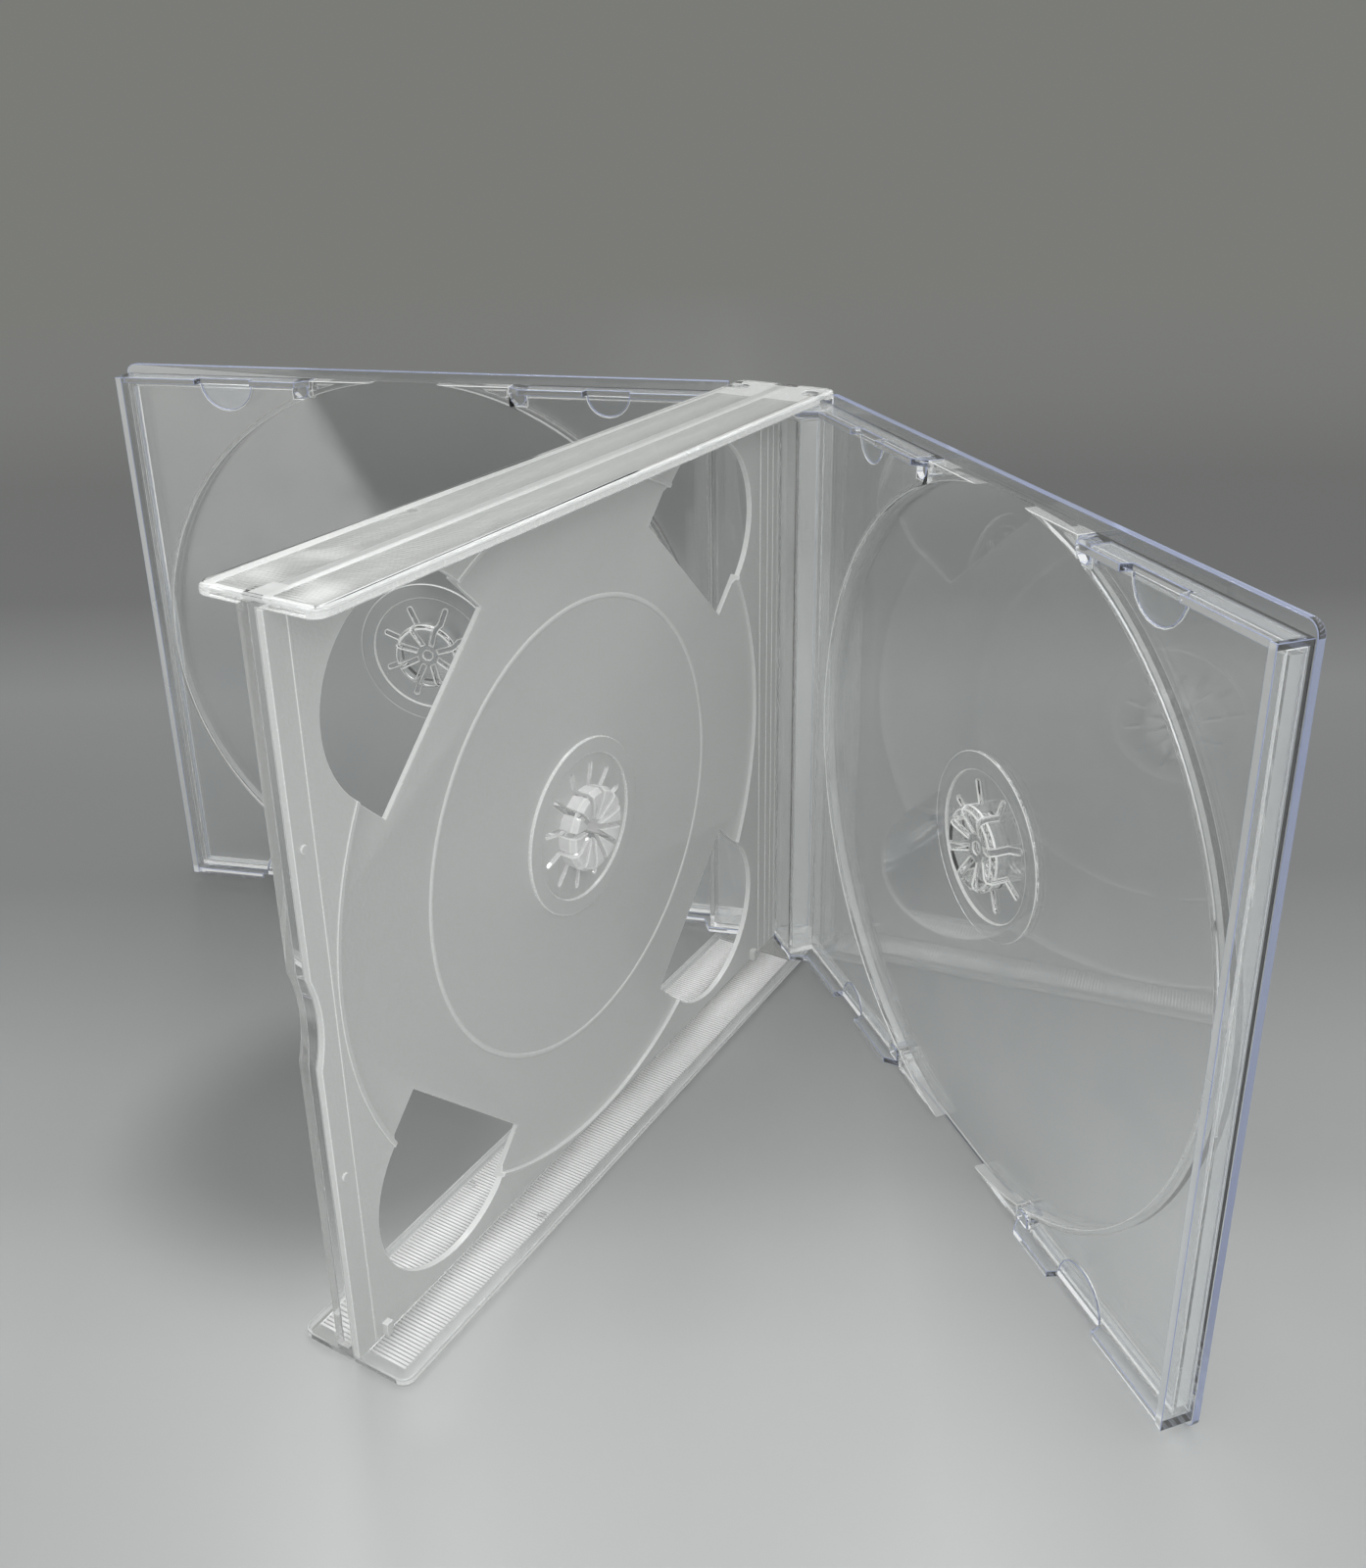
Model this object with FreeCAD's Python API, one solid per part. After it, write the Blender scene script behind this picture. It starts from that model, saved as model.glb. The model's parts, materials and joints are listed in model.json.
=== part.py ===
import FreeCAD, Part
import math
import os

os.makedirs("parts", exist_ok=True)

# Clear four-disc jewel case, standing upright on its long bottom edge and open like a book.
# X runs along the centre frame from the free end to the hinge end, the right wing is on the -Y
# side, the left wing on the +Y side, and Z is up from the surface the case stands on.
# The origin is under the middle of the centre frame.

# The disc places and the room round them set the length and height of the case.
centre_ring_r = 60.4     # recess for a disc of 120 mm
ring_to_flange = 0.5
free_margin = 5.4        # from the disc recess to the free end
hinge_margin = 15.8      # from the disc recess to the hinge end
case_thickness = 24.0    # closed

# walls and running gaps
panel_t = 1.2            # outer panel of a cover
flange_t = 1.6           # top and bottom flange of the frame
close_gap = 0.15         # between a closed cover's panel and the flange edges
side_gap = 0.3           # between a wing and the flanges, at top and bottom
seat_gap = 0.05          # between pieces that are snapped together
end_gap = 0.8            # a closed cover stops this short of the frame's free end

# centre frame
corner_r = 2.0
rim_bevel = 0.4          # bevel round the flanges' outer rim
border_w = 2.0           # plain border round the ribbed field of a flange
field_depth = 0.25       # the ribbed field lies this deep in the flange
field_end = 13.0         # plain land at the hinge end of a flange
land_w = 3.0             # plain land under the disc panel
post_w = 4.0             # free-end post, along X
post_back = 3.1          # free-end post, its rear face
spine_t = 1.2            # hinge-end spine, along X
spine_w = 4.8            # hinge-end spine, along Y
thumb_r = 22.0           # thumb scoop in the free end
thumb_depth = 1.3
detent_r = 0.9           # closing pips on the flanges
detent_h = 0.22
detent_back = 27.3       # from the middle of the disc, towards the free end
detent_y = 7.7

# hinges
pivot_inset = 5.5        # from the hinge end
pivot_y = 7.6
peg_r = 1.6
peg_play = 0.05          # radial running clearance of a peg
peg_len = 1.5            # below the hinge lug
leadin_depth = 0.5       # groove that guides a peg to its hole
right_open = 50.0        # how far the right wing stands open, in degrees
left_open = 71.0

# centre tray, the frosted disc panel
recess_t = 1.0           # plate inside the disc ring, in the middle of the frame
ring_depth = 0.9         # front disc recess, below the plate round it
plate_t = 1.1            # plate outside the disc ring
ring_wall = 1.0          # where the plate steps back round the recess
lip_w = 0.8              # raised lip round the front recess
lip_h = 0.25
cove_w = 0.9             # slope at the foot of the recess's wall
cove_h = 0.45
seat_r = 15.9            # raised seat for the disc's clamping ring
hub_floor_r = 13.0
seat_h = 0.55
window_r = 17.1          # four finger windows
window_rim = 1.8         # from a window to the recess's edge, along X and along Z
window_land = 10.4       # straight edge of a window, from the recess's edge
ridge_inset = (14.0, 11.0, 8.8, 6.8, 4.4)    # ridges, from the hinge end
free_ridge = 3.7         # ridge on the front, from the free end
ridge_w = 0.6
ridge_h = 0.12
foot_l = 1.4             # feet that lock the tray between the flanges
foot_w = 1.0
foot_h = 2.4
foot_free = 5.4          # from the free end
foot_hinge = 17.6        # from the hinge end
nub_r = 0.7
nub_h = 0.35
nub_z = 27.0             # above and below mid height
nub_inset = 1.7          # from the free end

# rosettes that grip the discs
grip_r = 7.35
grip_h = 3.3
grip_wall = 0.9
slot_w = 0.9
slot_tip = 0.25          # clipped corners at a slot's outer end
slot_r = 11.2
centre_slots = 12
centre_eye_r = 1.7
wing_slots = 8
wing_eye_r = 1.1
wing_collar_r = 2.6

# covers
corner_u = 3.1           # full-height panel starts this far past the pivot
panel_tail = 7.5         # low part of the panel on the hinge side of that start
rail_t = 1.2
rail_d = 6.2             # depth of the side rails
end_wall_t = 1.4
end_wall_d = 6.5
rail_start = 4.0         # side rail next to the hinge
rail_stop = 22.7         # both side rails stop this short of the middle of the disc
rail_restart = 21.3
rail_chamfer = 2.4
near_tab = 24.0          # half-moon tab next to the hinge: place, half width, reach
near_tab_half = 4.4
near_tab_reach = 4.2
far_tab = 24.8           # half-moon tab next to the free end: place from that end
far_tab_half = 5.8
far_tab_reach = 5.5
tab_t = 0.8
tab_level = 4.4          # inner face of the tabs
boss_r = 1.7
boss_inset = 1.9
lug_depth = 9.6
lug_nose = 0.85          # the lug's end reaches this far past the panel's tail
lug_nose_d = 7.2
lug_belly = 0.4          # and this much further at its widest
lug_belly_d = 3.0

# wing disc trays
tray_floor = 2.1         # top of the recess floor, from the cover's outer face
tray_top = 4.3
tray_wall = 1.0
ring_step = 0.6          # a wing's disc recess is this much larger in radius
wing_seat_r = 16.3
bar_u = (-6.0, 3.0)      # raised bar along the hinge
bar_top = 9.6

case_length = 2 * centre_ring_r + free_margin + hinge_margin
case_height = 2 * (centre_ring_r + ring_to_flange + flange_t)
half_l = case_length / 2.0
disc_x = centre_ring_r + free_margin - half_l
plate_front = -recess_t / 2.0 - ring_depth
plate_rear = plate_front + plate_t
pivot_x = half_l - pivot_inset
wing_ring_r = centre_ring_r + ring_step
half_t = case_thickness / 2.0
flange_half = half_t - panel_t - close_gap
mid_z = case_height / 2.0
pivot_d = half_t - pivot_y
corner_x = pivot_x - corner_u
cover_len = corner_x + half_l - end_gap
low_z = flange_t + side_gap
disc_u = corner_x - disc_x
rail_hinge = (rail_start, disc_u - rail_stop)
rail_free_start = disc_u + rail_restart
tab_near = (near_tab, near_tab_half, near_tab_reach)
tab_far = (cover_len - far_tab, far_tab_half, far_tab_reach)
Z = FreeCAD.Vector(0, 0, 1)
Y = FreeCAD.Vector(0, 1, 0)
X = FreeCAD.Vector(1, 0, 0)


def vec(x, y, z):
    return FreeCAD.Vector(x, y, z)


def box(x0, x1, y0, y1, z0, z1):
    return Part.makeBox(x1 - x0, y1 - y0, z1 - z0, vec(x0, y0, z0))


def polygon_xy(points, z0, z1):
    wire = Part.makePolygon([vec(x, y, z0) for x, y in points + points[:1]])
    return Part.Face(wire).extrude(vec(0, 0, z1 - z0))


def polygon_xz(points, y0, y1):
    wire = Part.makePolygon([vec(x, y0, z) for x, z in points + points[:1]])
    return Part.Face(wire).extrude(vec(0, y1 - y0, 0))


def octagon(r, a, b):
    turns = [math.radians(22.5 + 45 * i) for i in range(8)]
    return [(a + r * math.cos(t), b + r * math.sin(t)) for t in turns]


def fuse_all(shapes):
    return shapes[0].multiFuse(shapes[1:]).removeSplitter()


def mirrored_z(shape):
    return shape.mirror(vec(0, 0, mid_z), Z)


def disc_y(r, x, z, y0, y1):
    return Part.makeCylinder(r, y1 - y0, vec(x, y0, z), Y)


def ring_y(r0, r1, x, z, y0, y1):
    return disc_y(r1, x, z, y0, y1).cut(disc_y(r0, x, z, y0, y1))


# Centre frame: two ribbed flanges joined by the free-end post and the hinge-end spine.

def flange_blank():
    plate = box(-half_l, half_l, -flange_half, flange_half, 0, flange_t)
    upright = [e for e in plate.Edges if abs(e.tangentAt(e.FirstParameter).z) > 0.99]
    plate = plate.makeFillet(corner_r, upright)
    outer = [e for e in plate.Edges if e.BoundBox.ZMax < 0.001]
    return plate.makeChamfer(min(rim_bevel, flange_t / 3.0), outer)


def rib_field(side):
    x0 = -half_l + border_w
    x1 = half_l - field_end
    y0, y1 = land_w / 2.0, flange_half - border_w
    if side < 0:
        y0, y1 = -y1, -y0
    return box(x0, x1, y0, y1, flange_t - field_depth, flange_t + 1)


def pivot_cut(side):
    hole = Part.makeCylinder(peg_r + peg_play, flange_t + 2, vec(pivot_x, side * pivot_y, -1))
    y0, y1 = sorted((side * pivot_y, side * (flange_half + 1)))
    half_w = peg_r + peg_play
    lead = box(pivot_x - half_w, pivot_x + half_w, y0, y1, flange_t - leadin_depth, flange_t + 1)
    return [hole, lead]


def detent(side):
    points = octagon(detent_r, disc_x - detent_back, side * detent_y)
    return polygon_xy(points, flange_t - field_depth - 0.1, flange_t + detent_h)


def bottom_flange():
    plate = flange_blank()
    cuts = [rib_field(-1), rib_field(1)] + pivot_cut(-1) + pivot_cut(1)
    plate = plate.cut(cuts)
    return fuse_all([plate, detent(-1), detent(1)])


def thumb_scoop():
    x = -half_l - thumb_r + thumb_depth
    return disc_y(thumb_r, x, mid_z, -half_t, half_t)


def free_post():
    post = box(-half_l, -half_l + post_w, plate_rear + seat_gap, post_back,
               flange_t - field_depth, case_height - flange_t + field_depth)
    return post.cut(thumb_scoop())


def hinge_spine():
    return box(half_l - spine_t, half_l, -spine_w / 2.0, spine_w / 2.0,
               flange_t - 0.2, case_height - flange_t + 0.2)


def centre_frame():
    low = bottom_flange()
    return fuse_all([low, mirrored_z(low), free_post(), hinge_spine()])


# Rosette: spring fingers round the middle of a disc, cut apart by radial slots. Its outside is
# turned; each finger has a flat top that slopes to the middle, and a flat underside.
# Profiles are (radius, height above the hub floor).

def placed(profile, floor, direction, x, z):
    return [vec(x + r, floor + direction * up, z) for r, up in profile]


def turned(profile, floor, direction, x, z):
    pts = placed(profile, floor, direction, x, z)
    return Part.Face(Part.makePolygon(pts + pts[:1])).revolve(vec(x, 0, z), Y, 360)


def faceted(profile, count, floor, direction, x, z):
    reach = grip_r + 1
    pts = placed(profile, floor, direction, x, z - reach)
    prism = Part.Face(Part.makePolygon(pts + pts[:1])).extrude(vec(0, 0, 2 * reach))
    spread = reach * math.tan(math.pi / count)
    wedge = polygon_xz([(x, z), (x + reach, z - spread), (x + reach, z + spread)], -half_t, half_t)
    facet = prism.common(wedge)
    facets = []
    for i in range(count):
        turn = facet.copy()
        turn.rotate(vec(x, 0, z), Y, 360.0 / count * i)
        facets.append(turn)
    return fuse_all(facets)


def grip_blank(floor, direction, x, z):
    h = grip_h
    return turned([(0, -0.2), (grip_r, -0.2), (grip_r + 0.15, h * 0.72), (grip_r - 0.5, h), (0, h)],
                  floor, direction, x, z)


def grip_cuts(floor, direction, x, z, count, eye_r, collar_r, below):
    h = grip_h
    dish = h * 0.6
    under = dish - grip_wall
    inner = grip_r - grip_wall
    top = faceted([(0, dish), (collar_r, dish), (grip_r - 1.7, h), (grip_r - 1.7, h + 1), (0, h + 1)],
                  count, floor, direction, x, z)
    low = faceted([(0, under), (collar_r, under), (inner, h - grip_wall * 1.4), (inner, -below),
                   (0, -below)], count, floor, direction, x, z)
    return [top, low, polygon_xz(octagon(eye_r, x, z), -half_t, half_t)]


def radial_slots(count, start_r, x, z, y0, y1):
    slots = []
    half = slot_w / 2.0
    outline = [(x + start_r, z - half), (x + slot_r - slot_tip, z - half),
               (x + slot_r, z - half + slot_tip), (x + slot_r, z + half - slot_tip),
               (x + slot_r - slot_tip, z + half), (x + start_r, z + half)]
    for i in range(count):
        slot = polygon_xz(outline, y0, y1)
        slot.rotate(vec(x, 0, z), Y, 360.0 / count * (i + 0.5))
        slots.append(slot)
    return slots


# Centre tray: a frosted plate of one thickness. Inside the disc ring it steps back, so the front
# disc lies in a recess and the rear disc on a low platform.

def window(sx, sz):
    offset = centre_ring_r - window_rim - window_r
    chord = centre_ring_r - window_land
    x, z = disc_x + sx * offset, mid_z + sz * offset
    sides = box(chord, math.hypot(offset, offset), -half_t, half_t, -window_r, window_r)
    keep = box(-chord, chord, -half_t - 1, half_t + 1, -case_height, case_height)
    for shape in (sides, keep):
        shape.rotate(vec(0, 0, 0), Y, -math.degrees(math.atan2(sz, sx)))
        shape.translate(vec(disc_x, 0, mid_z))
    return disc_y(window_r, x, z, -half_t, half_t).cut(keep).fuse(sides)


def centre_plate():
    x1 = half_l - spine_t - seat_gap
    z0, z1 = flange_t + seat_gap, case_height - flange_t - seat_gap
    room = box(-half_l, half_l, -half_t, half_t, z0, z1)
    plate = box(-half_l, x1, plate_front, plate_rear, z0, z1)
    lip = disc_y(centre_ring_r + lip_w, disc_x, mid_z, plate_front - lip_h, plate_front + 0.2)
    back = disc_y(centre_ring_r + ring_wall, disc_x, mid_z, -recess_t / 2.0, recess_t / 2.0)
    plate = fuse_all([plate, lip.common(room), back.common(room)])
    floor = -recess_t / 2.0
    recess = disc_y(centre_ring_r, disc_x, mid_z, -half_t, floor - cove_h)
    cove = Part.makeCone(centre_ring_r - cove_w, centre_ring_r, cove_h,
                         vec(disc_x, floor, mid_z), vec(0, -1, 0))
    return plate.cut([recess, cove, thumb_scoop()])


def plate_face(side):
    return plate_front if side < 0 else plate_rear


def on_plate(side, rise):
    face = plate_face(side)
    return sorted((face - side * 0.2, face + side * rise))


def centre_foot(x, side):
    z0 = flange_t + seat_gap
    return box(x, x + foot_l, *on_plate(side, foot_w), z0, z0 + foot_h)


def centre_tray():
    add = [centre_plate()]
    for side in (-1, 1):
        face = side * recess_t / 2.0
        y0, y1 = sorted((face - side * 0.2, face + side * seat_h))
        add.append(ring_y(hub_floor_r, seat_r, disc_x, mid_z, y0, y1))
        for inset in ridge_inset:
            x = half_l - inset
            add.append(box(x, x + ridge_w, *on_plate(side, ridge_h), low_z, case_height - low_z))
        for x in (-half_l + foot_free, half_l - foot_hinge):
            foot = centre_foot(x, side)
            add += [foot, mirrored_z(foot)]
    for sz in (-1, 1):
        points = octagon(nub_r, -half_l + nub_inset, mid_z + sz * nub_z)
        add.append(polygon_xz(points, *on_plate(-1, nub_h)))
    x = -half_l + free_ridge
    add.append(box(x, x + ridge_w, *on_plate(-1, ridge_h), low_z, case_height - low_z))
    tray = fuse_all(add)
    tray = tray.cut([window(sx, sz) for sx in (-1, 1) for sz in (-1, 1)])
    tray = fuse_all([tray] + [grip_blank(side * recess_t / 2.0, side, disc_x, mid_z)
                              for side in (-1, 1)])
    for side in (-1, 1):
        tray = tray.cut(grip_cuts(side * recess_t / 2.0, side, disc_x, mid_z, centre_slots,
                                  centre_eye_r, 0.2, recess_t / 2.0))
    return tray.cut(radial_slots(centre_slots, 0.0, disc_x, mid_z, -half_t, half_t))


# Wings are drawn closed on the -Y side: u runs from the panel's hinge corner to the free end,
# d is the depth from the panel's outer face.

def wing_x(u):
    return corner_x - u


def wing_y(d):
    return -half_t + d


def wing_box(u0, u1, d0, d1, z0, z1):
    return box(wing_x(u1), wing_x(u0), wing_y(d0), wing_y(d1), z0, z1)


def wing_plate(points, z0, z1):
    return polygon_xy([(wing_x(u), wing_y(d)) for u, d in points], z0, z1)


# Cover: panel, end wall, side rails with half-moon tabs, hinge lugs and pegs.

def cover_panel():
    panel = wing_box(0, cover_len, 0, panel_t, 0, case_height)
    free = [e for e in panel.Edges
            if abs(e.tangentAt(e.FirstParameter).y) > 0.99 and e.BoundBox.XMax < 0]
    panel = panel.makeFillet(corner_r, free)
    tail = wing_box(-panel_tail, 1.0, 0, panel_t, low_z, case_height - low_z)
    return panel.fuse(tail)


def rail(u0, u1, tab, chamfer_start, chamfer_end):
    place, half_w, reach = tab
    top = rail_d
    points = [(u0, 0.5)]
    points += [(u0, top - rail_chamfer), (u0 + rail_chamfer, top)] if chamfer_start else [(u0, top)]
    slope = 0.5
    points += [(place - half_w - slope, top), (place - half_w, tab_level),
               (place + half_w, tab_level), (place + half_w + slope, top)]
    points += [(u1 - rail_chamfer, top), (u1, top - rail_chamfer)] if chamfer_end else [(u1, top)]
    points += [(u1, 0.5)]
    return wing_plate(points, low_z, low_z + rail_t)


def half_moon(tab):
    place, half_w, reach = tab
    z0 = low_z + rail_t - 0.2
    x = wing_x(place)
    # a circle through both ends of the tab's root and its tip
    r = (half_w ** 2 + reach ** 2) / (2.0 * reach)
    moon = disc_y(r, x, low_z + rail_t + reach - r, wing_y(tab_level - tab_t), wing_y(tab_level))
    keep = box(x - half_w - 2, x + half_w + 2, wing_y(0), wing_y(rail_d), z0, z0 + reach + half_w)
    root = box(x - half_w, x + half_w, wing_y(tab_level - tab_t), wing_y(tab_level), z0,
               low_z + rail_t + 0.1)
    return moon.common(keep).fuse(root)


def rail_boss(u):
    z = low_z + rail_t + boss_r * 0.5
    points = octagon(boss_r, wing_x(u), z)
    return polygon_xz(points, wing_y(panel_t - 0.2), wing_y(tab_level))


def hinge_lug():
    points = [(rail_hinge[0] + 1, 0.5), (rail_hinge[0] + 1, rail_d), (bar_u[1] + 0.3, lug_depth),
              (bar_u[0], lug_depth), (-panel_tail - lug_nose, lug_nose_d),
              (-panel_tail - lug_nose - lug_belly, lug_belly_d), (-panel_tail, 0.0), (0, 0.0)]
    plate = wing_plate(points, low_z, low_z + rail_t)
    peg = Part.makeCylinder(peg_r, peg_len + 0.2,
                            vec(wing_x(-corner_u), wing_y(pivot_d), low_z - peg_len))
    return fuse_all([plate, peg])


def closed_cover():
    end_u = cover_len
    wall = wing_box(end_u - end_wall_t - 0.3, end_u - 0.3, 0.5, end_wall_d, low_z,
                    case_height - low_z)
    low = [rail(rail_hinge[0], rail_hinge[1], tab_near, False, True),
           rail(rail_free_start, end_u - 0.8, tab_far, True, False),
           half_moon(tab_near), half_moon(tab_far),
           rail_boss(rail_hinge[1] - boss_inset), rail_boss(rail_free_start + boss_inset),
           hinge_lug()]
    return fuse_all([cover_panel(), wall] + low + [mirrored_z(s) for s in low])


# Wing disc tray: a thin-walled moulding with the disc recess, the hub and a raised bar along
# the hinge. It lies on the panel, between the rails and under the half-moon tabs.

def tray_outline(d0, d1, inset):
    gap = 2 * seat_gap
    u0, u1 = bar_u[0] + inset, cover_len - 0.3 - end_wall_t - gap - inset
    z0 = low_z + rail_t + gap + inset
    body = wing_box(u0, u1, d0, d1, z0, case_height - z0)
    z0 = low_z + inset
    waist = wing_box(rail_hinge[1] + gap + inset, rail_free_start - gap - inset, d0, d1,
                     z0, case_height - z0)
    return body.fuse(waist).removeSplitter()


def pocket_outline(place, half_w, reach):
    r = (half_w ** 2 + reach ** 2) / (2.0 * reach)
    x, z = wing_x(place), low_z + rail_t + reach - r
    r = r + 3 * seat_gap
    arc = [math.radians(18 * i) for i in range(11)]
    return [(x + r, 0)] + [(x + r * math.cos(t), z + r * math.sin(t)) for t in arc] + [(x - r, 0)]


def tray_reliefs():
    gap = 2 * seat_gap
    cuts = []
    for place, half_w, reach in (tab_near, tab_far):
        cuts.append(polygon_xz(pocket_outline(place, half_w, reach),
                               wing_y(tab_level - tab_t - gap), wing_y(rail_d)))
    for u in (rail_hinge[1] - boss_inset, rail_free_start + boss_inset):
        cuts.append(wing_box(u - boss_r - gap, u + boss_r + gap, 0, rail_d, 0,
                             low_z + rail_t + boss_r * 1.5 + gap))
    return cuts + [mirrored_z(c) for c in cuts]


def hinge_bar():
    z0 = low_z + rail_t + 2 * seat_gap
    z1 = case_height - z0
    bottom = panel_t + 2 * seat_gap
    outer = wing_box(bar_u[0], bar_u[1], bottom, bar_top, z0, z1)
    long_edges = [e for e in outer.Edges
                  if abs(e.tangentAt(e.FirstParameter).z) > 0.99
                  and e.BoundBox.YMax > wing_y(bar_top) - 0.01]
    outer = outer.makeFillet(0.6, long_edges)
    inner = wing_box(bar_u[0] + tray_wall, bar_u[1] - tray_wall, bottom - 1, bar_top - tray_wall,
                     z0 + tray_wall, z1 - tray_wall)
    return outer.cut(inner)


def closed_tray():
    bottom = panel_t + 2 * seat_gap
    x, z = wing_x(disc_u), mid_z
    shell = tray_outline(bottom, tray_top, 0)
    hollow = tray_outline(bottom - 1, tray_top - tray_wall, tray_wall)
    hollow = hollow.cut(disc_y(wing_ring_r + tray_wall, x, z, wing_y(bottom - 2),
                               wing_y(tray_top + 1)))
    shell = shell.cut(hollow)
    shell = shell.cut(disc_y(wing_ring_r, x, z, wing_y(tray_floor), wing_y(tray_top + 1)))
    shell = shell.cut(wing_box(bar_u[0] - 1, bar_u[1], 0, tray_top + 1, 0, case_height))
    seat = ring_y(hub_floor_r, wing_seat_r, x, z, wing_y(bottom), wing_y(tray_floor + seat_h))
    tray = fuse_all([shell, seat, hinge_bar()])
    tray = tray.cut(tray_reliefs())
    tray = fuse_all([tray, grip_blank(wing_y(tray_floor), 1, x, z)])
    tray = tray.cut(grip_cuts(wing_y(tray_floor), 1, x, z, wing_slots, wing_eye_r, wing_collar_r,
                              tray_floor))
    return tray.cut(radial_slots(wing_slots, wing_collar_r, x, z, wing_y(0), wing_y(half_t)))


# A wing of the rear side is the same moulding turned over, and each wing stands open.

def right_pose(shape):
    shape.rotate(vec(pivot_x, -pivot_y, 0), Z, right_open)
    return shape


def left_pose(shape):
    shape.rotate(vec(0, 0, mid_z), X, 180)
    shape.rotate(vec(pivot_x, pivot_y, 0), Z, -left_open)
    return shape


def build():
    pieces = {
        "centre_frame": centre_frame(),
        "centre_tray": centre_tray(),
        "right_cover": right_pose(closed_cover()),
        "right_disc_tray": right_pose(closed_tray()),
        "left_cover": left_pose(closed_cover()),
        "left_disc_tray": left_pose(closed_tray()),
    }
    for name, shape in pieces.items():
        solids = shape.Solids
        print(name, "solids", len(solids), "valid", shape.isValid(), "volume", round(shape.Volume, 1))
        (solids[0] if len(solids) == 1 else shape).exportStep("parts/" + name + ".step")


build()
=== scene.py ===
import bpy
import bmesh
import json
import math
from mathutils import Matrix, Vector


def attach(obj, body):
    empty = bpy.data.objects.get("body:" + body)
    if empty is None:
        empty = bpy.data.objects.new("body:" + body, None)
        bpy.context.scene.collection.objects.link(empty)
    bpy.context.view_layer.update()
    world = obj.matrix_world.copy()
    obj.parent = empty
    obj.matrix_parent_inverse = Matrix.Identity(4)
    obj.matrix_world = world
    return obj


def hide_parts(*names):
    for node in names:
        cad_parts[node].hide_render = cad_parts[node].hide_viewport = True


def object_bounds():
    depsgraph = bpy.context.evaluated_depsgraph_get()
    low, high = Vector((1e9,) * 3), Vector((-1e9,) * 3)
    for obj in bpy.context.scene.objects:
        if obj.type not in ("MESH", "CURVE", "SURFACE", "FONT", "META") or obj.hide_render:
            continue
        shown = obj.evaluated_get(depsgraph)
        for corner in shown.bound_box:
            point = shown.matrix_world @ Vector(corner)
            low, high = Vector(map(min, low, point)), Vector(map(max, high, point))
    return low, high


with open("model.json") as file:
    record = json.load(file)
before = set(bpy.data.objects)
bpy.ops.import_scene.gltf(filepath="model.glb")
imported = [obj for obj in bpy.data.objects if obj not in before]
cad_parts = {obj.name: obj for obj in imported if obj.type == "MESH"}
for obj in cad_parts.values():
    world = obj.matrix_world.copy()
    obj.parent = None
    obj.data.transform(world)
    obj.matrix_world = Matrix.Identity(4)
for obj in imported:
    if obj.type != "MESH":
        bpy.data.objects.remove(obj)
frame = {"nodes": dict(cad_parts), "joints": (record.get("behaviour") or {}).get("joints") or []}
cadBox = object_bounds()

scene = bpy.context.scene
mm = 0.001
caseHeight = cadBox[1][2]
discCentre = Vector((-5.2, 0, 62.5)) * mm          # middle of the disc places on the centre tray


# small helpers for objects, sockets and meshes

def linkObject(name, mesh):
    obj = bpy.data.objects.new(name, mesh)
    scene.collection.objects.link(obj)
    return obj


def addNode(tree, kind, place, **values):
    node = tree.nodes.new(kind)
    node.location = place
    for key, value in values.items():
        setattr(node, key, value)
    return node


def mathNode(tree, operation, a, b, place, clamp=False):
    node = addNode(tree, "ShaderNodeMath", place, operation=operation, use_clamp=clamp)
    for socket, value in zip(node.inputs, (a, b)):
        if isinstance(value, (int, float)):
            socket.default_value = value
        elif value is not None:
            tree.links.new(value, socket)
    return node.outputs[0]


def appliedMesh(obj, name):
    bpy.context.view_layer.update()
    graph = bpy.context.evaluated_depsgraph_get()
    mesh = bpy.data.meshes.new_from_object(obj.evaluated_get(graph))
    obj.modifiers.clear()
    obj.data = mesh
    mesh.name = name
    return mesh


# surface detail shared by every moulded piece

marksLook = {"flowScale": 14.0, "worn": (0.45, 0.75), "bumpDepth": 0.6}


def makeMouldingMarks():
    group = bpy.data.node_groups.new("mouldingMarks", "ShaderNodeTree")
    face = group.interface
    for name, value in (("Flow Scale", marksLook["flowScale"]), ("Scuff Scale", 90.0),
                        ("Scuff Depth", 0.2)):
        socket = face.new_socket(name, in_out="INPUT", socket_type="NodeSocketFloat")
        socket.default_value = value
    for name in ("Height", "Scuff", "Cloud"):
        face.new_socket(name, in_out="OUTPUT", socket_type="NodeSocketFloat")
    ins = addNode(group, "NodeGroupInput", (-900, 0))
    outs = addNode(group, "NodeGroupOutput", (600, 0))
    coord = addNode(group, "ShaderNodeTexCoord", (-900, 300))
    flow = addNode(group, "ShaderNodeTexNoise", (-600, 300))
    flow.inputs["Detail"].default_value = 0.0
    scuff = addNode(group, "ShaderNodeTexNoise", (-600, -300))
    scuff.inputs["Detail"].default_value = 1.0
    for node, name in ((flow, "Flow Scale"), (scuff, "Scuff Scale")):
        group.links.new(coord.outputs["Object"], node.inputs["Vector"])
        group.links.new(ins.outputs[name], node.inputs["Scale"])
    worn = addNode(group, "ShaderNodeMapRange", (-300, -300))
    worn.inputs["From Min"].default_value, worn.inputs["From Max"].default_value = marksLook["worn"]
    group.links.new(scuff.outputs["Fac"], worn.inputs["Value"])
    height = mathNode(group, "MULTIPLY_ADD", scuff.outputs["Fac"], ins.outputs["Scuff Depth"], (0, 200))
    group.links.new(flow.outputs["Fac"], height.node.inputs[2])
    group.links.new(height, outs.inputs["Height"])
    group.links.new(worn.outputs["Result"], outs.inputs["Scuff"])
    group.links.new(flow.outputs["Fac"], outs.inputs["Cloud"])
    return group


mouldingMarks = makeMouldingMarks()

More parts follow.
